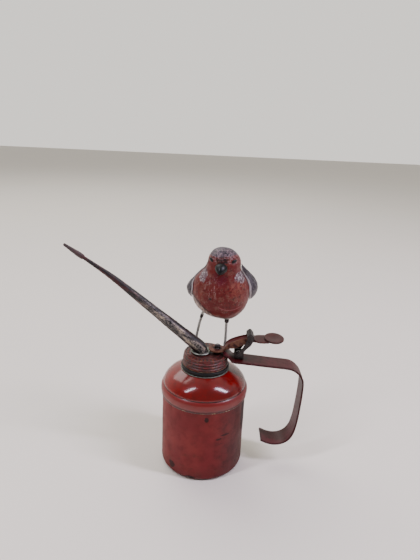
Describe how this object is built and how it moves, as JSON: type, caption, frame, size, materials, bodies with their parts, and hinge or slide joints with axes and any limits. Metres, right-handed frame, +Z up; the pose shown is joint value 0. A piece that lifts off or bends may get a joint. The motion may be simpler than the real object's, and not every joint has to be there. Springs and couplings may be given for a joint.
{
  "type": "thumb pump oil can",
  "caption": "Red thumb-lever pump oil can with a screw cap, strap handle, long tapered spout and a small bird figure standing on the cap.",
  "frame": {"origin": "centre of the can's base, on the floor it stands on", "axes": "+Z up the can's axis; +X toward the strap handle and thumb lever; the spout leans toward -X; the bird faces -Y"},
  "size_m": [0.2096, 0.0973, 0.2009],
  "materials": {
    "faded_red_paint": "worn satin paint over steel",
    "bright_red_paint": "glossier red paint, scratched at the bead",
    "cap_paint": "red brown paint worn through to brass",
    "strap_paint": "dark red brown paint",
    "black_rubber": "matte",
    "dark_iron": "dark, oily, worn bright in patches",
    "steel": "dull",
    "brass": "plain turned",
    "tinplate": "dull tinned",
    "leather": "oiled",
    "leg_wire": "dull grey wire",
    "breast_paint": "hand painted, brick red and slate",
    "slate_paint": "hand painted, slate grey",
    "black_enamel": "glossy black paint"
  },
  "bodies": {
    "can": {"can_body": "faded_red_paint", "can_shoulder": "bright_red_paint", "neck_ring": "tinplate"},
    "washer": {"neck_washer": "black_rubber"},
    "cap": {"screw_cap": "cap_paint", "pump_head": "brass", "pump_barrel": "brass", "gland_nut": "brass", "gland_packing": "leather", "foot_valve_body": "brass", "valve_cage": "brass", "suction_tube": "brass", "suction_strainer": "brass", "return_spring": "steel", "spout": "dark_iron", "spout_collar": "tinplate", "nozzle_tip": "dark_iron", "handle_strap": "strap_paint", "strap_rivet_1": "steel", "strap_rivet_2": "steel", "fulcrum_bracket": "dark_iron", "bracket_rivet_1": "steel", "bracket_rivet_2": "steel", "link_lower_pin": "steel", "bird_body": "breast_paint", "bird_wing_left": "slate_paint", "bird_wing_right": "slate_paint", "bird_tail": "slate_paint", "bird_beak": "black_enamel", "bird_eye_left": "black_enamel", "bird_eye_right": "black_enamel", "bird_leg_left": "leg_wire", "bird_leg_right": "leg_wire", "leg_collar_left": "dark_iron", "leg_collar_right": "dark_iron"},
    "link": {"fulcrum_link": "dark_iron", "link_upper_pin": "steel"},
    "lever": {"thumb_lever": "strap_paint"},
    "plunger": {"plunger_rod": "steel", "plunger_nut": "dark_iron", "piston_head": "brass", "cup_leather": "leather", "piston_nut": "brass"},
    "ball": {"valve_ball": "steel"}
  },
  "joints": [
    {"name": "cap_lift", "type": "slide", "parent": "can", "child": "washer", "axis": [0, 0, 1], "range_m": [0, 0.006]},
    {"name": "cap_turn", "type": "hinge", "parent": "washer", "child": "cap", "pos_m": [0, 0, 0.1], "axis": [0, 0, 1], "range_deg": [0, 720]},
    {"name": "link_swing", "type": "hinge", "parent": "cap", "child": "link", "pos_m": [0.0288, 0, 0.1084], "axis": [0, 1, 0], "range_deg": [0, 7.4]},
    {"name": "lever_press", "type": "hinge", "parent": "link", "child": "lever", "pos_m": [0.0376, 0, 0.121], "axis": [0, 1, 0], "range_deg": [0, 10.3], "stiffness_Nm_per_rad": 1, "springref_deg": -11.46},
    {"name": "plunger_lift", "type": "slide", "parent": "cap", "child": "plunger", "axis": [0, 0, 1], "range_m": [0, 0.0076], "deforming": ["return_spring"]},
    {"name": "valve_ball_lift", "type": "slide", "parent": "cap", "child": "ball", "axis": [0, 0, 1], "range_m": [0, 0.002]}
  ],
  "couplings": [
    {"joint": "cap_lift", "follows": "cap_turn", "m_per_rad": 0.00047746},
    {"joint": "link_swing", "follows": "lever_press", "ratio": 0.7},
    {"joint": "plunger_lift", "follows": "lever_press", "m_per_rad": 0.0415}
  ]
}
